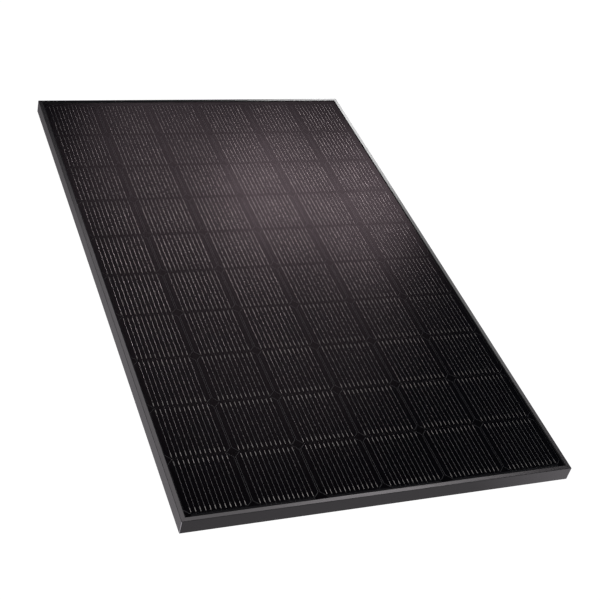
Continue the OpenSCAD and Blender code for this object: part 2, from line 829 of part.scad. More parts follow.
module socket_sleeve() {
    sleeve_l = 20;
    sleeve_r = 2.9;
    barrel_l = 7.2;
    wall_l = 1.5;
    color([0.82, 0.82, 0.8]) translate([0, 0, contact_z]) difference() {
        cylinder(h = sleeve_l, r = sleeve_r);
        translate([0, 0, -1]) cylinder(h = barrel_l + 1, r = jacket_bore_r);
        translate([0, 0, barrel_l + wall_l]) cylinder(h = sleeve_l, r = pin_r + running_gap);
    }
}

module socket_o_ring() {
    ring_r = 0.8;
    color([0.6, 0.1, 0.08]) translate([0, 0, shell_z + nose_step_t + ring_r + skin])
        rotate_extrude() translate([nose_r + ring_r + skin, 0]) circle(r = ring_r);
}

// A sprung arm with an outward barb at its tip, drawn on the +X side.
module latch_arm() {
    arm_l = 15;
    arm_t = 1.4;
    arm_x = 7;
    barb_t = 1.6;
    barb_l = 4.6;
    color([0.05, 0.05, 0.055]) translate([arm_x, -latch_w / 2, shell_z + 0.15]) union() {
        cube([arm_t, latch_w, arm_l]);
        translate([1, 0, arm_l]) rotate([-90, 0, 0]) linear_extrude(height = latch_w)
            polygon([[0, 0], [1, 0], [barb_t, barb_l - 1.1], [barb_t, barb_l], [0, barb_l]]);
    }
}

front_glass();
front_encapsulant();
cell_string(1);  // cell_string_1
cell_string(2);  // cell_string_2
cell_string(3);  // cell_string_3
cell_string(4);  // cell_string_4
cell_string(5);  // cell_string_5
cell_string(6);  // cell_string_6
string_wires(1);  // string_wires_1
string_wires(2);  // string_wires_2
string_wires(3);  // string_wires_3
string_wires(4);  // string_wires_4
string_wires(5);  // string_wires_5
string_wires(6);  // string_wires_6
bus_ribbons_top();
bus_ribbons_bottom();
rear_encapsulant();
backsheet();
frame_rail_left();
frame_rail_right();
frame_rail_top();
frame_rail_bottom();
corner_keys();
frame_seal();
rating_label();
box_adhesive();
box_base();
box_lid();
box_gasket();
terminal_bars();
bypass_diodes();
cable_boots();
jacket_stub();  // negative_cable_stub
mirror([1, 0, 0]) jacket_stub();  // positive_cable_stub
core_stub();  // negative_core_stub
mirror([1, 0, 0]) core_stub();  // positive_core_stub
jacket_run();  // negative_cable_run
mirror([1, 0, 0]) jacket_run();  // positive_cable_run
core_run();  // negative_core_run
mirror([1, 0, 0]) core_run();  // positive_core_run
jacket_tail();  // negative_cable_tail
mirror([1, 0, 0]) jacket_tail();  // positive_cable_tail
core_tail();  // negative_core_tail
mirror([1, 0, 0]) core_tail();  // positive_core_tail
at_connector() plug_body();
at_connector() plug_pin();
at_connector() connector_cable_seal();  // plug_cable_seal
at_connector() connector_clamp();  // plug_clamp_ring
at_connector() connector_nut();  // plug_nut
mirror([1, 0, 0]) at_connector() socket_body();
mirror([1, 0, 0]) at_connector() socket_sleeve();
mirror([1, 0, 0]) at_connector() connector_cable_seal();  // socket_cable_seal
mirror([1, 0, 0]) at_connector() socket_o_ring();
mirror([1, 0, 0]) at_connector() connector_clamp();  // socket_clamp_ring
mirror([1, 0, 0]) at_connector() connector_nut();  // socket_nut
mirror([1, 0, 0]) at_connector() latch_arm();  // socket_latch_left
mirror([1, 0, 0]) at_connector() mirror([1, 0, 0]) latch_arm();  // socket_latch_right
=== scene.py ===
"""Looks for a framed sixty-cell solar panel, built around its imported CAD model.

Everything is in metres in the CAD's own frame: +X across the panel, +Y along it towards the junction box
and +Z out of the glass. Places come from the CAD nodes' boxes. The sizes named below are those of details
that the CAD leaves out.
"""

import json
import math

import bpy
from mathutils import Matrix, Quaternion, Vector


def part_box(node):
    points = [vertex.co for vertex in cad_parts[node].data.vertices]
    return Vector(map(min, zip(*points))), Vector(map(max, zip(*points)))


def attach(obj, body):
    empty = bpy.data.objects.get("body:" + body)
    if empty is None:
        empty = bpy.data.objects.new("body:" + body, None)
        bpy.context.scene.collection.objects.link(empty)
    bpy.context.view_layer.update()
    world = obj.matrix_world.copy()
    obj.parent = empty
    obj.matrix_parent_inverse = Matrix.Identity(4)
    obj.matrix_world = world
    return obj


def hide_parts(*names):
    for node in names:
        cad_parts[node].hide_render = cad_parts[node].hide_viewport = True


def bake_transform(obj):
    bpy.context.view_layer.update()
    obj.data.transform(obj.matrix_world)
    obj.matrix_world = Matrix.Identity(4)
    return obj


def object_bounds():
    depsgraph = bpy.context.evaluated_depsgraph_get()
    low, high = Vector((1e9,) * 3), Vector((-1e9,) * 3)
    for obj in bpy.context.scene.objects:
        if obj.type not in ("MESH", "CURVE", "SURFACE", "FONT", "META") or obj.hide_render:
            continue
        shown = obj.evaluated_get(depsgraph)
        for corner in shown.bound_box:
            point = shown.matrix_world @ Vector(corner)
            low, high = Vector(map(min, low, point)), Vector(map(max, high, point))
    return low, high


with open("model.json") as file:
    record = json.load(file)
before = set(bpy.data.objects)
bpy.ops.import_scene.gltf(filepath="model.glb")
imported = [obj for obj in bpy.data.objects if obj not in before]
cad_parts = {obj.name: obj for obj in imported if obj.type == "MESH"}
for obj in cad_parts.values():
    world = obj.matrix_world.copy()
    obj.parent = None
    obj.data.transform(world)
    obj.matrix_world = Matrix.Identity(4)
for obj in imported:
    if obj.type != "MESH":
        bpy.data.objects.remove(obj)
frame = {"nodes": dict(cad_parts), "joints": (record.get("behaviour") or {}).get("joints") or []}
cad_low, cad_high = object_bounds()
NODES = frame["nodes"]
JOINTS = {joint["name"]: joint for joint in frame["joints"]}
MM = 0.001

# Cells and their wires
COLUMNS = 6
ROWS = 10
WIRES = 12
WIRE_SIDES = 10
WIRE_END_INSET = 3 * MM        # a wire stops this far short of its cell's far edge
INGOT_RADIUS = 105.5 * MM      # the circle that rounds off a cell's corners
ARC_STEPS = 6
WIRE_STEP_MARGIN = 0.3 * MM    # how far from either cell a wire stays as it steps down between them
PAD_LENGTH = 13 * MM
PAD_WIDTH = 1.15 * MM
PAD_INSET = 4 * MM             # from a cell's end to its pads
FILLET_WIDTH = 0.95 * MM       # solder that has crept out from under a wire
FILLET_HEIGHT = 0.3 * MM
FILLET_STEPS = 6
PRINT_HEIGHT = 0.008 * MM      # thickness of the silver print on a cell
EDGE_INSET = 0.15 * MM
SIDE_EDGE_WIDTH = 0.5 * MM
END_EDGE_WIDTH = 0.08 * MM
FINGER_PITCH = 1.4 * MM
FINGER_SHARE = 0.04            # how much of its pitch a printed finger is wide
WIRE_MARK_PITCH = 11.84 * MM   # between the marks that the wires leave in the backsheet

# Frame
LIP_WIDTH = 11 * MM
SAWN_WIDTH = 0.8 * MM          # bare metal to each side of a sawn corner, wider than the sawn metal alone as a painted highlight for the corner's glint
SAWN_PROUD = 0.05 * MM
SAWN_BOTTOM = 0.2 * MM         # its ends, in from the frame's back and front
SAWN_TOP = 0.8 * MM
SEAM_WIDTH = 0.16 * MM
SEAM_HEIGHT = 0.01 * MM
SEAM_START = 0.9 * MM          # its ends, measured in along each side from the corner
SEAM_END = 10.4 * MM
BEAD_WIDTH = 2.2 * MM
BEAD_HEIGHT = 0.8 * MM

# Label
LABEL_MARGIN = 4 * MM
LABEL_ROWS = 8
LABEL_COLUMN = 0.58            # where the upright rule stands, as a share of the ruled width
RULE_WIDTH = 0.35 * MM
INK_HEIGHT = 0.02 * MM

# Leads
CABLE_SIDES = 24
CORE_CLEARANCE = 0.05 * MM
LEAD_BEND_RADIUS = 50 * MM     # where a lead turns from leaving its box to running down the panel
BEND_STEPS = 16
STEP_LENGTH = 8 * MM

# Camera: the point it looks at, the way it looks (in degrees), and how far off it stands
AIM = Vector((18.4, -156.7, 40)) * MM
AZIMUTH = 28.95
DEPRESSION = 38.57
ROLL = 14.95
DISTANCE = 3.4375
LENS = 75.65                   # millimetres, as is the sensor's width
SENSOR = 36


# ---- Materials -----------------------------------------------------------------------------------

class Shader:
    """A node material that is put together in a few calls."""

    def __init__(self, name, sky=False):
        self.owner = bpy.data.worlds.new(name) if sky else bpy.data.materials.new(name)
        self.owner.use_nodes = True
        self.tree = self.owner.node_tree
        self.tree.nodes.clear()
        self.output = self.add("ShaderNodeOutputWorld" if sky else "ShaderNodeOutputMaterial")

    def add(self, kind, inputs=None, **settings):
        """Adds a node with these settings, and fills its inputs."""
        node = self.tree.nodes.new(kind)
        for key, value in settings.items():
            setattr(node, key, value)
        for key, value in (inputs or {}).items():
            self.put(node.inputs[key], value)
        return node

    def put(self, socket, value):
        """Links a node or another socket to a socket, or else gives it a fixed value."""
        if isinstance(value, bpy.types.Node):
            value = value.outputs[0]
        if isinstance(value, bpy.types.NodeSocket):
            self.tree.links.new(value, socket)
        elif isinstance(value, (tuple, list)) and len(value) == 3 and socket.type == "RGBA":
            socket.default_value = (*value, 1)
        else:
            socket.default_value = value

    def math(self, operation, a, b=0.0, clamp=False):
        return self.add("ShaderNodeMath", {0: a, 1: b}, operation=operation, use_clamp=clamp)

    def position(self, scale=(1, 1, 1)):
        """The point being shaded, in metres in the row frame, stretched by scale."""
        place = self.add("ShaderNodeTexCoord").outputs["Object"]
        return self.add("ShaderNodeMapping", {"Vector": place, "Scale": scale})

    def noise(self, size, detail=3.0, stretch=(1, 1, 1), roughness=0.5):
        """Noise from 0 to 1 with features about size across."""
        where = self.position(tuple(s / size for s in stretch))
        node = self.add("ShaderNodeTexNoise", {
            "Vector": where, "Scale": 1.0, "Detail": detail, "Roughness": roughness})
        return node.outputs["Fac"]

    def streaks(self, along, fineness, drawn, detail):
        """Noise drawn out along one axis: its features to the metre, across that axis and along it."""
        scale = [fineness] * 3
        scale[along] = drawn
        where = self.position(scale)
        node = self.add("ShaderNodeTexNoise", {"Vector": where, "Scale": 1.0, "Detail": detail})
        return node.outputs["Fac"]

    def span(self, value, low, high, from_low=0.3, from_high=0.7):
        """value, spread from its own span onto low to high."""
        return self.add("ShaderNodeMapRange", {
            "Value": value, "From Min": from_low, "From Max": from_high, "To Min": low, "To Max": high})

    def blend(self, factor, a, b):
        """The colour a at factor 0 and b at 1."""
        node = self.add("ShaderNodeMix", data_type="RGBA", clamp_factor=True)
        for socket, value in ((node.inputs[0], factor), (node.inputs[6], a), (node.inputs[7], b)):
            self.put(socket, value)
        return node.outputs[2]

    def bump(self, height, distance, strength=1.0):
        return self.add("ShaderNodeBump", {"Height": height, "Distance": distance, "Strength": strength})

    def principled(self, **inputs):
        """A Principled BSDF, with its inputs' names written with underscores."""
        named = {key.replace("_", " "): value for key, value in inputs.items()}
        return self.add("ShaderNodeBsdfPrincipled", named)

    def done(self, surface):
        """Connects the surface, and returns the finished material or world."""
        self.put(self.output.inputs["Surface"], surface)
        return self.owner


def edge_wear(s, reach):
    """About 1 where a surface turns sharply within reach, 0 on its flats."""
    rounded = s.add("ShaderNodeBevel", {"Radius": reach}, samples=4)
    flat = s.add("ShaderNodeNewGeometry").outputs["Normal"]
    cosine = s.add("ShaderNodeVectorMath", {0: rounded, 1: flat}, operation="DOT_PRODUCT").outputs["Value"]
    return s.span(cosine, 1.0, 0.0, 0.80, 0.985)


def anodised(name, along):
    """Dark anodised extrusion: fine die lines along one axis, and a little wear where it turns a corner."""
    s = Shader(name)
    lines = s.streaks(along, 900.0, 6.0, 4.0)
    broad = s.streaks(along, 260.0, 1.5, 2.0)
    cloud = s.noise(0.18, 3.0)
    tone = s.blend(s.span(broad, 0.0, 1.0), (0.017, 0.0165, 0.0175), (0.024, 0.023, 0.024))
    tone = s.blend(s.span(cloud, 0.0, 0.35), tone, (0.030, 0.029, 0.030))
    worn = s.math("MULTIPLY", edge_wear(s, 0.6 * MM), s.span(s.noise(0.035, 4.0), 0.15, 0.75))
    tone = s.blend(worn, tone, (0.16, 0.16, 0.165))
    rough = s.math("ADD", s.span(lines, 0.18, 0.24), s.span(cloud, -0.02, 0.03))
    return s.done(s.principled(
        Base_Color=tone, Metallic=0.0, Roughness=rough, Specular_IOR_Level=0.5,
        Normal=s.bump(lines, 0.012 * MM, 0.2)))


def bare_aluminium(name, colour=(0.62, 0.63, 0.645), roughness=0.34):
    """Sawn or mill-finished aluminium, with a grain drawn out along +Z."""
    s = Shader(name)
    grain = s.noise(0.6 * MM, 3.0, stretch=(1, 1, 0.06))
    tone = s.blend(s.span(s.noise(0.012), 0.0, 1.0), colour, tuple(c * 0.82 for c in colour))
    rough = s.math("ADD", s.span(grain, -0.06, 0.08), roughness)
    return s.done(s.principled(
        Base_Color=tone, Metallic=1.0, Roughness=rough, Normal=s.bump(grain, 0.01 * MM, 0.3)))


def plated(name, colour, roughness, fleck):
    """Tin, silver or copper: metal with a mottled finish."""
    s = Shader(name)
    mottle = s.noise(fleck, 3.0)
    tone = s.blend(s.span(mottle, 0.0, 1.0), colour, tuple(c * 0.72 for c in colour))
    rough = s.span(s.noise(fleck * 2.5), roughness - 0.07, roughness + 0.1)
    return s.done(s.principled(Base_Color=tone, Metallic=1.0, Roughness=rough))


def silver_print(name, colour, metallic=0.35):
    """Fired silver paste, which is pale, matte and slightly grainy."""
    s = Shader(name)
    grain = s.noise(0.4 * MM, 3.0)
    tone = s.blend(s.span(grain, 0.0, 1.0), colour, tuple(c * 0.7 for c in colour))
    return s.done(s.principled(Base_Color=tone, Metallic=metallic, Roughness=s.span(grain, 0.38, 0.48)))


def solar_glass(name):
    """Clear tempered glass whose finely textured, anti-reflective front mirrors the room softly."""
    s = Shader(name)
    through = s.add("ShaderNodeBsdfTransparent", {"Color": (0.965, 0.975, 0.97)})
    haze = s.span(s.noise(0.05), 0.17, 0.19)
    mirror = s.add("ShaderNodeBsdfGlossy", {"Color": (1, 1, 1), "Roughness": haze})
    front = s.math("SUBTRACT", 1.0, s.add("ShaderNodeNewGeometry").outputs["Backfacing"])
    share = s.math("MULTIPLY", s.add("ShaderNodeFresnel", {"IOR": 1.42}), front)
    return s.done(s.add("ShaderNodeMixShader", {0: share, 1: through, 2: mirror}))


def clear_sheet(name):
    """The clear plastic that the laminate is bonded with."""
    s = Shader(name)
    return s.done(s.add("ShaderNodeBsdfTransparent", {"Color": (0.985, 0.987, 0.98)}))


def silicon(name, pitch, first):
    """Black silicon: each cell a shade of its own, with hair-fine printed fingers across it."""
    s = Shader(name)
    place = s.add("ShaderNodeTexCoord").outputs["Object"]
    shifted = s.add("ShaderNodeVectorMath", {0: place, 1: first}, operation="SUBTRACT")
    index = s.add("ShaderNodeVectorMath", {0: shifted, 1: (*pitch, 1.0)}, operation="DIVIDE")
    index = s.add("ShaderNodeVectorMath", {0: index}, operation="FLOOR")
    draw = s.add("ShaderNodeTexWhiteNoise", {"Vector": index}, noise_dimensions="2D")
    shade = s.add("ShaderNodeMapRange", {"Value": draw.outputs["Value"], "To Min": 0.0, "To Max": 1.0})
    tone = s.blend(shade, (0.0005, 0.0006, 0.0017), (0.0014, 0.0013, 0.0026))
    tone = s.blend(s.span(s.noise(0.045, 3.0), 0.0, 0.5), tone, (0.0010, 0.0009, 0.0026))
    along = s.add("ShaderNodeSeparateXYZ", {0: place}).outputs["Y"]
    wave = s.math("FRACT", s.math("DIVIDE", along, FINGER_PITCH))
    finger = s.math("LESS_THAN", wave, FINGER_SHARE)
    tone = s.blend(s.math("MULTIPLY", finger, 0.3), tone, (0.03, 0.03, 0.032))
    rough = s.span(s.noise(0.02, 2.0), 0.38, 0.5)
    return s.done(s.principled(Base_Color=tone, Roughness=rough, Specular_IOR_Level=0.02))


def rubber(name, colour, roughness=0.6, grain=0.7 * MM):
    """Rubber, silicone or soft cable sheath, with a fine grain."""
    s = Shader(name)
    speck = s.noise(grain, 3.0)
    tone = s.blend(s.span(s.noise(0.03), 0.0, 1.0), colour, tuple(c * 1.6 + 0.003 for c in colour))
    rough = s.span(s.noise(0.01, 3.0), roughness - 0.08, roughness + 0.1)
    return s.done(s.principled(
        Base_Color=tone, Roughness=rough, Specular_IOR_Level=0.4, Normal=s.bump(speck, 0.02 * MM, 0.5)))


def moulded(name, colour, roughness=0.45, texture=0.35 * MM, depth=0.02 * MM):
    """Injection-moulded plastic with a spark-eroded texture, polished a little where it is handled."""
    s = Shader(name)
    speck = s.noise(texture, 2.0)
    tone = s.blend(s.span(s.noise(0.02), 0.0, 1.0), colour, tuple(c * 1.35 + 0.002 for c in colour))
    worn = s.math("MULTIPLY", edge_wear(s, 0.5 * MM), s.span(s.noise(0.008, 3.0), 0.1, 0.7))
    tone = s.blend(worn, tone, tuple(c * 2.2 + 0.02 for c in colour))
    rough = s.math("SUBTRACT", s.span(s.noise(0.015, 3.0), roughness - 0.05, roughness + 0.08),
                   s.math("MULTIPLY", worn, 0.1))
    return s.done(s.principled(Base_Color=tone, Roughness=rough, Normal=s.bump(speck, depth, 0.6)))


def back_film(name, pitch, first):
    """Black polymer film. Its inner face, seen between the cells, is painted near-black as shade. The cells
    and wires it lies against show as faint relief.
    """
    s = Shader(name)
    place = s.add("ShaderNodeTexCoord").outputs["Object"]
    shifted = s.add("ShaderNodeVectorMath", {0: place, 1: first}, operation="SUBTRACT")
    parts = s.add("ShaderNodeSeparateXYZ", {0: shifted})
    ridges = []
    for axis, step in zip(("X", "Y"), pitch):
        share = s.math("FRACT", s.math("DIVIDE", parts.outputs[axis], step))
        off_middle = s.math("ABSOLUTE", s.math("SUBTRACT", share, 0.5))
        ridges.append(s.span(off_middle, 1.0, 0.0, 0.478, 0.496))
    relief = s.math("MINIMUM", *ridges)
    wire = s.math("FRACT", s.math("DIVIDE", parts.outputs["X"], WIRE_MARK_PITCH))
    wire = s.span(s.math("ABSOLUTE", s.math("SUBTRACT", wire, 0.5)), 0.25, 0.0, 0.0, 0.06)
    height = s.math("ADD", s.math("MULTIPLY", relief, 1.0), s.math("MULTIPLY", wire, relief))
    height = s.math("ADD", height, s.math("MULTIPLY", s.noise(0.0022, 3.0), 0.35))
    height = s.math("ADD", height, s.math("MULTIPLY", s.noise(0.12, 2.0), 1.5))
    tone = s.blend(s.span(s.noise(0.09, 4.0), 0.0, 1.0), (0.020, 0.020, 0.021), (0.030, 0.0295, 0.030))
    rough = s.span(s.noise(0.05, 3.0), 0.42, 0.56)
    facing = s.add("ShaderNodeSeparateXYZ", {0: s.add("ShaderNodeNewGeometry").outputs["True Normal"]})
    inside = s.math("GREATER_THAN", facing.outputs["Z"], 0.5)
    # Painted shade: the film's inner face, seen through the gaps between cells, is made near-black and
    # barely reflects.
    tone = s.blend(inside, tone, (0.0015, 0.0015, 0.002))
    return s.done(s.principled(
        Base_Color=tone, Roughness=rough, Specular_IOR_Level=s.span(inside, 0.45, 0.03, 0.0, 1.0),
        Normal=s.bump(height, 0.12 * MM, 0.6)))


def label_film(name):
    """Silvery label stock, brushed along +X."""
    s = Shader(name)
    tone = s.blend(s.span(s.noise(0.015), 0.0, 1.0), (0.58, 0.585, 0.59), (0.5, 0.505, 0.51))
    brush = s.noise(0.5 * MM, 3.0, stretch=(0.03, 1, 1))
    return s.done(s.principled(Base_Color=tone, Metallic=0.4, Roughness=s.span(brush, 0.4, 0.55)))


def printed_ink(name):
    """Near-black ink, also used for hair-line gaps."""
    s = Shader(name)
    tone = s.blend(s.span(s.noise(0.3 * MM), 0.0, 1.0), (0.02, 0.02, 0.022), (0.045, 0.045, 0.05))
    return s.done(s.principled(Base_Color=tone, Roughness=s.span(s.noise(0.004), 0.5, 0.7)))


def paint(material, *names):
    """Gives CAD nodes or pieces one material in place of all they have."""
    for name in names:
        data = NODES[name].data
        data.materials.clear()
        data.materials.append(material)


# ---- Mesh building -------------------------------------------------------------------------------

SMOOTH_BELOW = math.radians(50)


class Build:
    """Gathers corners and faces, and makes one object of them."""

    def __init__(self):
        self.points = []
        self.faces = []

    def ring(self, points):
        """Adds corners, and returns their numbers."""
        start = len(self.points)
        self.points.extend(tuple(p) for p in points)
        return list(range(start, start + len(points)))

    def bridge(self, a, b):
        """Joins two rings of as many points with a band of faces."""
        n = len(a)
        self.faces.extend((a[i], a[(i + 1) % n], b[(i + 1) % n], b[i]) for i in range(n))

    def cap(self, ring):
        self.faces.append(tuple(ring))

    def prism(self, outline, low, high):
        """A solid between two heights, from an outline that runs anticlockwise seen from above."""
        bottom = self.ring([(x, y, low) for x, y in outline])
        top = self.ring([(x, y, high) for x, y in outline])
        self.bridge(bottom, top)
        self.cap(bottom[::-1])
        self.cap(top)

    def block(self, low, high):
        """A box with its edges along the axes."""
        corners = [(low[0], low[1]), (high[0], low[1]), (high[0], high[1]), (low[0], high[1])]
        self.prism(corners, low[2], high[2])

    def plate(self, outer, inner, low, high):
        """A flat frame between two outlines of as many points."""
        rings = [self.ring([(x, y, z) for x, y in outline])
                 for outline, z in ((outer, low), (outer, high), (inner, high), (inner, low))]
        for a, b in zip(rings, rings[1:] + rings[:1]):
            self.bridge(a, b)

    def make(self, name, material, smooth=False):
        """The object, named and with one material, linked to the scene."""
        mesh = bpy.data.meshes.new(name)
        mesh.from_pydata(self.points, [], self.faces)
        mesh.validate()
        mesh.update()
        for polygon in mesh.polygons:
            polygon.use_smooth = smooth
        if smooth:
            mesh.set_sharp_from_angle(angle=SMOOTH_BELOW)
        piece = bpy.data.objects.new(name, mesh)
        bpy.context.scene.collection.objects.link(piece)
        mesh.materials.append(material)
        return piece


def circle(centre, side, up, radius, count):
    """Points around centre, anticlockwise seen against side x up."""
    turns = [2 * math.pi * i / count for i in range(count)]
    return [centre + side * (radius * math.cos(t)) + up * (radius * math.sin(t)) for t in turns]


def path_rings(build, path, radius, count):
    """Rings of a round section along a path that keeps to one upright or level plane."""
    rings = []
    for i, point in enumerate(path):
        before = path[max(i - 1, 0)]
        after = path[min(i + 1, len(path) - 1)]
        ahead = (after - before).normalized()
        side = ahead.cross(Vector((0, 0, 1)))
        if side.length < 1e-6:
            side = Vector((1, 0, 0))
        side.normalize()
        rings.append(build.ring(circle(point, side, side.cross(ahead), radius, count)))
    return rings


def add_rod(build, path, radius, count):
    """A solid round rod along a path."""
    rings = path_rings(build, path, radius, count)
    for a, b in zip(rings, rings[1:]):
        build.bridge(a, b)
    build.cap(rings[0][::-1])
    build.cap(rings[-1])


def add_tube(build, path, radius, bore, count):
    """A pipe along a path, with flat ends."""
    outer = path_rings(build, path, radius, count)
    inner = path_rings(build, path, bore, count)
    for a, b in zip(outer, outer[1:]):
        build.bridge(a, b)
    for a, b in zip(inner, inner[1:]):
        build.bridge(b, a)
    build.bridge(inner[0], outer[0])
    build.bridge(outer[-1], inner[-1])


# ---- Cells ---------------------------------------------------------------------------------------

def cell_layout():
    """The cells' size, their pitches and the middle of the first one, read from the strings' boxes."""
    low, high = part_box("cell_string_1")
    last_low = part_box("cell_string_%d" % COLUMNS)[0]
    size = high.x - low.x
    pitch_x = (last_low.x - low.x) / (COLUMNS - 1)
    pitch_y = (high.y - low.y - size) / (ROWS - 1)
    return size, pitch_x, pitch_y, Vector((low.x + size / 2, low.y + size / 2, high.z))


CELL, PITCH_X, PITCH_Y, FIRST = cell_layout()
# The corner, towards -X and -Y, of the square that the first cell has to itself
FIRST_CORNER = (FIRST.x - PITCH_X / 2, FIRST.y - PITCH_Y / 2, 0.0)
STRINGS = range(1, COLUMNS + 1)


def cell_centre(number, row):
    """The middle of a cell's front, for a string's number and a row counted from 0."""
    column = number - 1
    return Vector((FIRST.x + column * PITCH_X, FIRST.y + row * PITCH_Y, FIRST.z))


def wire_offsets(number):
    """The wires' distances from the middle of a string, and a wire's radius, read from the CAD's wires."""
    name = "string_wires_%d" % number
    low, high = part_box(name)
    underside = min(v.co.z for v in NODES[name].data.vertices if v.co.z > FIRST.z)
    radius = (high.z - underside) / 2
    half = (high.x - low.x) / 2 - radius
    return [half * (2 * k / (WIRES - 1) - 1) for k in range(WIRES)], radius


def build_wires(number, material):
    """Round tinned wires: each runs from the front of one cell to the back of the next."""
    low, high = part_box("string_wires_%d" % number)
    offsets, radius = wire_offsets(number)
    middle = FIRST.x + (number - 1) * PITCH_X
    front, back = high.z - radius, low.z + radius
    turned = -1 if number % 2 == 0 else 1
    reach_front, reach_back = (high.y, -low.y) if turned > 0 else (-low.y, high.y)
    rise = (PITCH_Y - CELL) / 2 - WIRE_STEP_MARGIN
    end_in = CELL / 2 - WIRE_END_INSET
    rows = [FIRST.y + j * PITCH_Y for j in range(ROWS)]
    paths = [
        [(-reach_back, back), (rows[0] + end_in, back)],
        [(rows[-1] - end_in, front), (reach_front, front)]]
    for y in rows[:-1]:
        step = y + PITCH_Y / 2
        paths.append([
            (y - end_in, front), (step - rise, front), (step + rise, back), (y + PITCH_Y + end_in, back)])
    build = Build()
    for offset in offsets:
        for path in paths:
            points = [Vector((middle + offset, turned * y, z)) for y, z in path]
            add_rod(build, points, radius, WIRE_SIDES)
    piece = build.make("cell_wires_%d" % number, material, smooth=True)
    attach(piece, "panel")
    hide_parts("string_wires_%d" % number)


def build_pads(number, material):
    """The silver pads that each wire is soldered to at both ends of a cell's front."""
    build = Build()
    offsets, _ = wire_offsets(number)
    for row in range(ROWS):
        centre = cell_centre(number, row)
        for end in (-1, 1):
            far = end * (CELL / 2 - PAD_INSET)
            near = far - end * PAD_LENGTH
            y_low, y_high = sorted((centre.y + far, centre.y + near))
            for offset in offsets:
                left = centre.x + offset - PAD_WIDTH / 2
                right = centre.x + offset + PAD_WIDTH / 2
                build.block((left, y_low, centre.z), (right, y_high, centre.z + PRINT_HEIGHT))
    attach(build.make("cell_pads_%d" % number, material), "panel")


def build_fillets(number, material):
    """The low arch of solder along each wire, from one end's pads to the other's."""
    build = Build()
    offsets, _ = wire_offsets(number)
    turns = [math.pi * i / FILLET_STEPS for i in range(FILLET_STEPS + 1)]
    arch = [(FILLET_WIDTH / 2 * math.cos(a), FILLET_HEIGHT * math.sin(a)) for a in turns]
    for row in range(ROWS):
        centre = cell_centre(number, row)
        reach = CELL / 2 - PAD_INSET - PAD_LENGTH
        for offset in offsets:
            x = centre.x + offset
            ends = [build.ring([(x + dx, y, centre.z + dz) for dx, dz in arch])
                    for y in (centre.y + reach, centre.y - reach)]
            build.bridge(*ends)
            build.cap(ends[0][::-1])
            build.cap(ends[1])
    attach(build.make("cell_fillets_%d" % number, material, smooth=True), "panel")


def cell_outline(centre, inset_x, inset_y):
    """A cell's outline drawn in by an inset: a square with its corners cut by the ingot's circle."""
    half_x, half_y = CELL / 2 - inset_x, CELL / 2 - inset_y
    radius = INGOT_RADIUS - inset_x
    start = math.acos(half_x / radius)
    end = math.asin(half_y / radius)
    points = []
    for quarter, (sx, sy) in enumerate(((1, 1), (-1, 1), (-1, -1), (1, -1))):
        angles = [start + (end - start) * i / ARC_STEPS for i in range(ARC_STEPS + 1)]
        if quarter % 2:
            angles.reverse()
        for a in angles:
            points.append((centre.x + sx * radius * math.cos(a), centre.y + sy * radius * math.sin(a)))
    return points


def build_cell_edges(number, material):
    """The pale line along each cell's edge: partly a printed border, partly a painted highlight for the
    glint along the edge.
    """
    build = Build()
    for row in range(ROWS):
        centre = cell_centre(number, row)
        outer = cell_outline(centre, EDGE_INSET, EDGE_INSET)
        inner = cell_outline(centre, EDGE_INSET + SIDE_EDGE_WIDTH, EDGE_INSET + END_EDGE_WIDTH)
        build.plate(outer, inner, centre.z, centre.z + PRINT_HEIGHT)
    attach(build.make("cell_edges_%d" % number, material), "panel")


# ---- Frame ---------------------------------------------------------------------------------------

def frame_corner(sx, sy):
    """The corner of the frame on the side of +X or -X, and of +Y or -Y."""
    return Vector((cad_high.x if sx > 0 else cad_low.x, cad_high.y if sy > 0 else cad_low.y))


def build_corner_edges(material):
    """The line of bare metal up each corner, where two rails were sawn to their mitre. It is brighter and
    wider than the sawn metal alone: a painted highlight for the glint on the corner.
    """
    build = Build()
    for sx in (-1, 1):
        for sy in (-1, 1):
            x, y = frame_corner(sx, sy)
            out_x, out_y = x + sx * SAWN_PROUD, y + sy * SAWN_PROUD
            in_x, in_y = x - sx * SAWN_WIDTH, y - sy * SAWN_WIDTH
            outline = [(out_x, out_y), (in_x, out_y), (in_x, y), (x, in_y), (out_x, in_y)]
            if sx * sy > 0:
                outline.reverse()
            build.prism(outline, cad_low.z + SAWN_BOTTOM, cad_high.z - SAWN_TOP)
    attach(build.make("mitre_edges", material), "panel")


def build_mitre_seams(material):
    """The hair-line joint across the lip at each corner."""
    build = Build()
    for sx in (-1, 1):
        for sy in (-1, 1):
            inwards = Vector((-sx, -sy))
            across = Vector((-sy, sx)).normalized() * (SEAM_WIDTH / 2)
            a = frame_corner(sx, sy) + inwards * SEAM_START
            b = frame_corner(sx, sy) + inwards * SEAM_END
            outline = [a + across, a - across, b - across, b + across]
            if (outline[1] - outline[0]).cross(outline[2] - outline[1]) < 0:
                outline.reverse()
            build.prism(outline, cad_high.z, cad_high.z + SEAM_HEIGHT)
    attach(build.make("mitre_seams", material), "panel")


def build_seal_bead(material):
    """The bead of silicone that has been pressed out along the inner edge of the lip, onto the glass. Its
    near-black band also stands in for the shade under the lip's inner edge: painted shade.
    """
    glass_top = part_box("front_glass")[1].z
    inner_x, inner_y = cad_high.x - LIP_WIDTH, cad_high.y - LIP_WIDTH
    build = Build()
    corners = ((-1, -1), (1, -1), (1, 1), (-1, 1))
    section = ((0, 0), (BEAD_WIDTH, 0), (BEAD_WIDTH * 0.45, BEAD_HEIGHT * 0.75), (0, BEAD_HEIGHT))
    rings = [build.ring([(sx * (inner_x - d), sy * (inner_y - d), glass_top + h) for sx, sy in corners])
             for d, h in section]
    for a, b in zip(rings, rings[1:] + rings[:1]):
        build.bridge(b, a)
    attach(build.make("seal_bead", material), "panel")


# ---- Leads ---------------------------------------------------------------------------------------

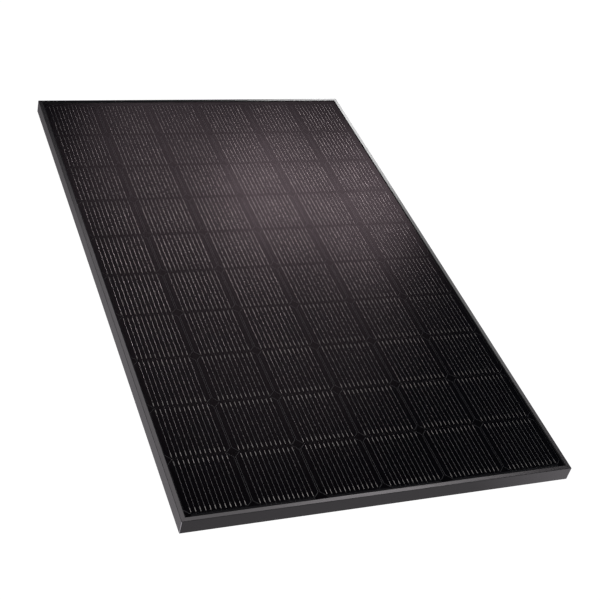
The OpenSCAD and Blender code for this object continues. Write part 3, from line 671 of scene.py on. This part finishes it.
def lead_path(sign):
    """The middle line of a lead, from inside the junction box round the bend to inside the connector."""
    stub_low, stub_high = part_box("negative_cable_stub")
    _, run_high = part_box("negative_cable_run")
    tail_low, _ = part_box("negative_cable_tail")
    radius = (stub_high.z - stub_low.z) / 2
    level = stub_low.z + radius
    box_y = stub_low.y + radius
    lead_x = run_high.x - radius
    corner = Vector((lead_x - LEAD_BEND_RADIUS, box_y - LEAD_BEND_RADIUS, level))
    path = []
    along = stub_low.x
    while along < corner.x:
        path.append(Vector((along, box_y, level)))
        along += STEP_LENGTH
    for i in range(BEND_STEPS + 1):
        turn = math.pi / 2 * (1 - i / BEND_STEPS)
        path.append(corner + Vector((math.cos(turn), math.sin(turn), 0)) * LEAD_BEND_RADIUS)
    down = path[-1].y - STEP_LENGTH
    while down > tail_low.y:
        path.append(Vector((lead_x, down, level)))
        down -= STEP_LENGTH
    path.append(Vector((lead_x, tail_low.y, level)))
    return [Vector((sign * p.x, p.y, p.z)) for p in path], radius


def build_lead(pole, sign, jacket, copper):
    """A lead in two lengths, cut halfway between the lead's two joints, so that each length runs smoothly
    through one of them.
    """
    path, radius = lead_path(sign)
    core_low, core_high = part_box("%s_core_run" % pole)
    core_radius = (core_high.z - core_low.z) / 2
    swing = Vector(JOINTS["%s_lead_swing" % pole]["pos_m"])
    bend = Vector(JOINTS["%s_lead_bend" % pole]["pos_m"])
    split = (bend.y + swing.y) / 2
    cut = min(range(len(path)), key=lambda i: abs(path[i].y - split))
    upper, lower = path[:cut + 1], path[cut:]
    core_upper = [p for p in upper if abs(p.x) > abs(swing.x)]
    for part, jacket_path, core_path in (("upper", upper, core_upper), ("lower", lower, lower)):
        build = Build()
        add_tube(build, jacket_path, radius, core_radius + CORE_CLEARANCE, CABLE_SIDES)
        sheath = build.make("%s_jacket_%s" % (pole, part), jacket, smooth=True)
        build = Build()
        add_rod(build, core_path, core_radius, CABLE_SIDES // 2)
        core = build.make("%s_core_%s" % (pole, part), copper, smooth=True)
        for piece in (sheath, core):
            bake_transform(piece)
        if part == "upper":
            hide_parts("%s_cable_stub" % pole, "%s_cable_run" % pole)
            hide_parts("%s_core_run" % pole)
        else:
            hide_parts("%s_cable_tail" % pole)
            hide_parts("%s_core_tail" % pole)


# ---- Label ---------------------------------------------------------------------------------------

def build_label_print(material):
    """A border and blank ruled rows on the rating label, with no lettering."""
    low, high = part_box("rating_label")
    left, right = low.x + LABEL_MARGIN, high.x - LABEL_MARGIN
    bottom, top = low.y + LABEL_MARGIN, high.y - LABEL_MARGIN
    z_low, z_high = low.z - INK_HEIGHT, low.z
    build = Build()
    for i in range(LABEL_ROWS + 1):
        y = bottom + (top - bottom) * i / LABEL_ROWS
        build.block((left, y - RULE_WIDTH / 2, z_low), (right, y + RULE_WIDTH / 2, z_high))
    for x in (left, left + (right - left) * LABEL_COLUMN, right):
        build.block((x - RULE_WIDTH / 2, bottom, z_low), (x + RULE_WIDTH / 2, top, z_high))
    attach(build.make("label_ruling", material), "panel")


# ---- Studio --------------------------------------------------------------------------------------

def aimed(azimuth, elevation):
    """The direction at an azimuth (from +Y towards +X) and an elevation, in degrees."""
    a, e = math.radians(azimuth), math.radians(elevation)
    return Vector((math.sin(a) * math.cos(e), math.cos(a) * math.cos(e), math.sin(e)))


def build_camera():
    """The camera that took the photo, as worked out from the frame's corners."""
    ahead = aimed(AZIMUTH, -DEPRESSION)
    data = bpy.data.cameras.new("camera")
    data.lens = LENS
    data.sensor_width = SENSOR
    data.clip_start, data.clip_end = 0.05, 200
    camera = bpy.data.objects.new("camera", data)
    camera.location = AIM - ahead * DISTANCE
    camera.rotation_mode = "QUATERNION"
    camera.rotation_quaternion = ahead.to_track_quat("-Z", "Y") @ Quaternion((0, 0, 1), math.radians(ROLL))
    bpy.context.scene.collection.objects.link(camera)
    bpy.context.scene.camera = camera


# Round soft lights, far off: azimuth, elevation, angular radius, brightness, colour, and the pieces lit
LAMP_DISTANCE = 14.0
ROSE = (1.0, 0.77, 0.85)
WARM = (1.0, 0.86, 0.92)
BLUSH = (1.0, 0.94, 0.975)
WHITE = (1.0, 1.0, 1.0)
LAMPS = {
    "glow_right": (32.0, 32.6, 3.1, 1.92, ROSE, "glass"),
    "glow_middle": (25.4, 33.5, 3.0, 2.13, ROSE, "glass"),
    "glow_left": (17.4, 32.8, 4.5, 0.69, ROSE, "glass"),
    "glow_above": (26.6, 39.4, 8.6, 0.23, ROSE, "glass"),
    "corner_light": (28.9, 29.0, 4.4, 11.8, WHITE, "rails"),
    "front_light": (44.3, 49.3, 6.5, 3.8, BLUSH, "rails"),
    "right_light": (39.0, 37.4, 7.4, 2.1, WHITE, "right_rail"),
    "left_light": (24.2, 47.2, 13.8, 2.05, BLUSH, "near_rails"),
    "pad_light": (36.0, 58.0, 10.0, 4.8, BLUSH, "pads"),
    "key": (200.0, 62.0, 22.0, 2.2, WHITE, "rest"),
    "fill": (60.0, -42.0, 25.0, 3.0, WHITE, "all"),
}
# The wires catch a half ring of lamps, each RING_ANGLE degrees from the +Y axis
RING_LAMPS = 13
RING_ANGLE = 41.9
RING_RADIUS = 3.2
RING_BRIGHTNESS = 3.0
# The room as reflections see it: dim and tinted all over, with soft patches of wall. A patch is given by its
# azimuth, elevation, sharpness and brightness.
ROOM_LIGHT = 0.018
ROOM_TINT = (0.85, 0.88, 1.5)
ROOM_PATCHES = ((-62.0, 25.0, 7.0, 0.30), (135.0, 14.0, 5.0, 0.24), (75.0, 8.0, 12.0, 0.25))


def build_world():
    """White to the eye, and a dim room with a few soft patches to everything that reflects it."""
    s = Shader("studio", sky=True)
    towards = s.add("ShaderNodeTexCoord").outputs["Generated"]
    patches = 0.0
    for azimuth, elevation, sharpness, brightness in ROOM_PATCHES:
        middle = aimed(azimuth, elevation)
        cosine = s.add("ShaderNodeVectorMath", {0: towards, 1: middle}, operation="DOT_PRODUCT")
        fall = s.math("MULTIPLY", s.math("SUBTRACT", cosine.outputs["Value"], 1.0), sharpness)
        patches = s.math("ADD", s.math("MULTIPLY", s.math("EXPONENT", fall), brightness), patches)
    dim = s.add("ShaderNodeBackground", {"Color": ROOM_TINT, "Strength": ROOM_LIGHT})
    wall = s.add("ShaderNodeBackground", {"Color": WHITE, "Strength": patches})
    room = s.add("ShaderNodeAddShader", {0: dim, 1: wall})
    seen = s.add("ShaderNodeBackground", {"Color": WHITE})
    path = s.add("ShaderNodeLightPath")
    world = s.done(s.add("ShaderNodeMixShader", {0: path.outputs["Is Camera Ray"], 1: room, 2: seen}))
    world.cycles.sampling_method = "NONE"
    bpy.context.scene.world = world


FLOOR_REACH = 30.0
FLOOR_DROP = 0.5 * MM
FLOOR_WHITE = 0.95             # to the camera
FLOOR_BOUNCE = 0.47            # to all that reflects it, before the two factors below
FLOOR_TINT = (1.0, 0.95, 1.0)
NEAR_BOUNCE, FAR_BOUNCE = 1.12, 0.55     # at the panel's two ends
LEFT_BOUNCE, RIGHT_BOUNCE = 1.0, 2.0     # at RISE_X and at the panel's right side
RISE_X = 0.25


def build_floor():
    """A white sweep. It lets the eye and lamps through from below, so that the back can be looked at."""
    mesh = bpy.data.meshes.new("floor")
    corners = ((-1, -1), (1, -1), (1, 1), (-1, 1))
    z = cad_low.z - FLOOR_DROP
    mesh.from_pydata([(sx * FLOOR_REACH, sy * FLOOR_REACH, z) for sx, sy in corners], [], [(0, 1, 2, 3)])
    floor = bpy.data.objects.new("floor", mesh)
    bpy.context.scene.collection.objects.link(floor)
    s = Shader("floor")
    parts = s.add("ShaderNodeSeparateXYZ", {0: s.add("ShaderNodeTexCoord").outputs["Object"]})
    near = s.span(parts.outputs["Y"], NEAR_BOUNCE, FAR_BOUNCE, cad_low.y, cad_high.y)
    right = s.span(parts.outputs["X"], LEFT_BOUNCE, RIGHT_BOUNCE, RISE_X, cad_high.x)
    bounce = s.math("MULTIPLY", s.math("MULTIPLY", near, right), FLOOR_BOUNCE)
    paper = s.add("ShaderNodeBsdfDiffuse", {"Color": (0.30, 0.30, 0.30)})
    glow = s.add("ShaderNodeEmission", {"Color": WHITE, "Strength": FLOOR_WHITE})
    dim = s.add("ShaderNodeEmission", {"Color": FLOOR_TINT, "Strength": bounce})
    path = s.add("ShaderNodeLightPath")
    eye = s.add("ShaderNodeAddShader", {0: paper, 1: glow})
    rest = s.add("ShaderNodeMixShader", {0: path.outputs["Is Camera Ray"], 1: dim, 2: eye})
    below = s.add("ShaderNodeNewGeometry").outputs["Backfacing"]
    under = s.math("MAXIMUM", below, path.outputs["Is Shadow Ray"])
    clear = s.add("ShaderNodeBsdfTransparent")
    mesh.materials.append(s.done(s.add("ShaderNodeMixShader", {0: under, 1: rest, 2: clear})))


def lit_groups():
    """Collections of the pieces that each group of lamps falls on.

    "rest" is the other way round: it lists what has lamps of its own, which its lamp leaves out.
    """
    rails = ["frame_rail_%s" % side for side in ("left", "bottom", "right", "top")]
    members = {
        "glass": ["front_glass"],
        "wires": ["cell_%s_%d" % (part, n) for part in ("wires", "fillets") for n in STRINGS],
        "pads": ["cell_%s_%d" % (part, n) for part in ("pads", "edges") for n in STRINGS],
        "rails": rails,
        "near_rails": rails[:2],
        "right_rail": rails[2:3],
        "rest": ["front_glass", "backsheet"] + rails}
    members["rest"] += members["wires"] + members["pads"] + ["cell_string_%d" % n for n in STRINGS]
    groups = {}
    for name, pieces in members.items():
        groups[name] = bpy.data.collections.new(name)
        for piece in pieces:
            groups[name].objects.link(bpy.data.objects[piece])
    for item in groups["rest"].collection_objects:
        item.light_linking.link_state = "EXCLUDE"
    return groups


def add_lamp(name, out, radius, brightness, colour, group):
    """A round lamp that faces the panel from the direction out."""
    data = bpy.data.lights.new(name, "AREA")
    data.shape = "DISK"
    data.size = 2 * LAMP_DISTANCE * math.tan(math.radians(radius))
    data.energy = brightness * math.pi * math.pi * data.size ** 2 / 4
    data.color = colour
    light = bpy.data.objects.new(name, data)
    light.location = Vector((0, 0, cad_high.z)) + out * LAMP_DISTANCE
    light.rotation_mode = "QUATERNION"
    light.rotation_quaternion = out.to_track_quat("Z", "Y")
    light.visible_camera = False
    if group is not None:
        light.light_linking.receiver_collection = group
    bpy.context.scene.collection.objects.link(light)


def build_lights():
    """The lamps of LAMPS, and the ring that lights the wires."""
    groups = lit_groups()
    for name, (azimuth, elevation, radius, brightness, colour, group) in LAMPS.items():
        add_lamp(name, aimed(azimuth, elevation), radius, brightness, colour, groups.get(group))
    angle = math.radians(RING_ANGLE)
    for i in range(RING_LAMPS):
        turn = math.pi * (i + 0.5) / RING_LAMPS
        out = Vector((math.sin(angle) * math.cos(turn), math.cos(angle), math.sin(angle) * math.sin(turn)))
        add_lamp("ring_%d" % (i + 1), out, RING_RADIUS, RING_BRIGHTNESS, WARM, groups["wires"])


# ---- Putting it together -------------------------------------------------------------------------

def dress_cad():
    """Materials for the CAD nodes that are shown as they are. Returns the copper, for the leads' cores."""
    paint(solar_glass("solar_glass"), "front_glass")
    paint(clear_sheet("encapsulant"), "front_encapsulant", "rear_encapsulant")
    cells = silicon("silicon", (PITCH_X, PITCH_Y), FIRST_CORNER)
    paint(cells, *["cell_string_%d" % n for n in STRINGS])
    paint(moulded("coated_ribbon", (0.006, 0.006, 0.007), 0.5), "bus_ribbons_top", "bus_ribbons_bottom")
    paint(back_film("back_film", (PITCH_X, PITCH_Y), FIRST_CORNER), "backsheet")
    paint(anodised("anodised_across", 0), "frame_rail_top", "frame_rail_bottom")
    paint(anodised("anodised_along", 1), "frame_rail_left", "frame_rail_right")
    paint(bare_aluminium("mill_aluminium"), "corner_keys")
    paint(rubber("black_silicone", (0.008, 0.008, 0.008), 0.55), "frame_seal", "box_adhesive")
    paint(label_film("label_film"), "rating_label")
    paint(moulded("box_plastic", (0.012, 0.012, 0.0125), 0.5), "box_base", "box_lid")
    paint(rubber("foam_rubber", (0.06, 0.06, 0.062), 0.75, 0.5 * MM), "box_gasket")
    tinned = plated("tinned_copper", (0.62, 0.60, 0.56), 0.3, 1.5 * MM)
    paint(tinned, "terminal_bars", "plug_pin", "socket_sleeve")
    paint(moulded("epoxy", (0.018, 0.018, 0.019), 0.4, 0.2 * MM), "bypass_diodes")
    paint(rubber("boot_rubber", (0.012, 0.012, 0.012), 0.6), "cable_boots")
    connector = moulded("connector_plastic", (0.011, 0.011, 0.012), 0.38, 0.3 * MM, 0.012 * MM)
    paint(connector, "plug_body", "plug_nut", "socket_body", "socket_nut")
    paint(connector, "socket_latch_left", "socket_latch_right")
    paint(moulded("nylon", (0.55, 0.53, 0.47), 0.5), "plug_clamp_ring", "socket_clamp_ring")
    red = rubber("red_silicone", (0.22, 0.025, 0.02), 0.5)
    paint(red, "plug_cable_seal", "socket_cable_seal", "socket_o_ring")
    copper = plated("copper", (0.72, 0.40, 0.26), 0.32, 0.6 * MM)
    paint(copper, "positive_core_stub", "negative_core_stub")
    return copper


def main():
    copper = dress_cad()
    wire = plated("tinned_wire", (0.66, 0.65, 0.64), 0.24, 2.5 * MM)
    pad = silver_print("silver_pads", (0.72, 0.70, 0.68), 0.8)
    # The cell edges' pale grey is partly printed border and partly a painted highlight where the edges
    # glint.
    edge = silver_print("cell_edge", (0.19, 0.19, 0.20))
    for number in STRINGS:
        build_wires(number, wire)
        build_fillets(number, wire)
        build_pads(number, pad)
        build_cell_edges(number, edge)
    # Bright metal up each corner: partly the sawn mitre, partly a painted highlight for the corner's glint.
    build_corner_edges(bare_aluminium("sawn_aluminium_and_glint", (0.75, 0.76, 0.78), 0.3))
    ink = printed_ink("dark_line")
    build_mitre_seams(ink)
    # Near-black bead along the lip: partly pressed-out silicone, partly painted shade under the lip's edge.
    build_seal_bead(rubber("pressed_silicone_and_shade", (0.004, 0.004, 0.004), 0.6))
    build_label_print(ink)
    jacket = rubber("cable_jacket", (0.010, 0.010, 0.0105), 0.42, 0.5 * MM)
    build_lead("negative", 1, jacket, copper)
    build_lead("positive", -1, jacket, copper)
    bpy.context.scene.view_settings.view_transform = "Standard"
    build_camera()
    build_world()
    build_floor()
    build_lights()


main()
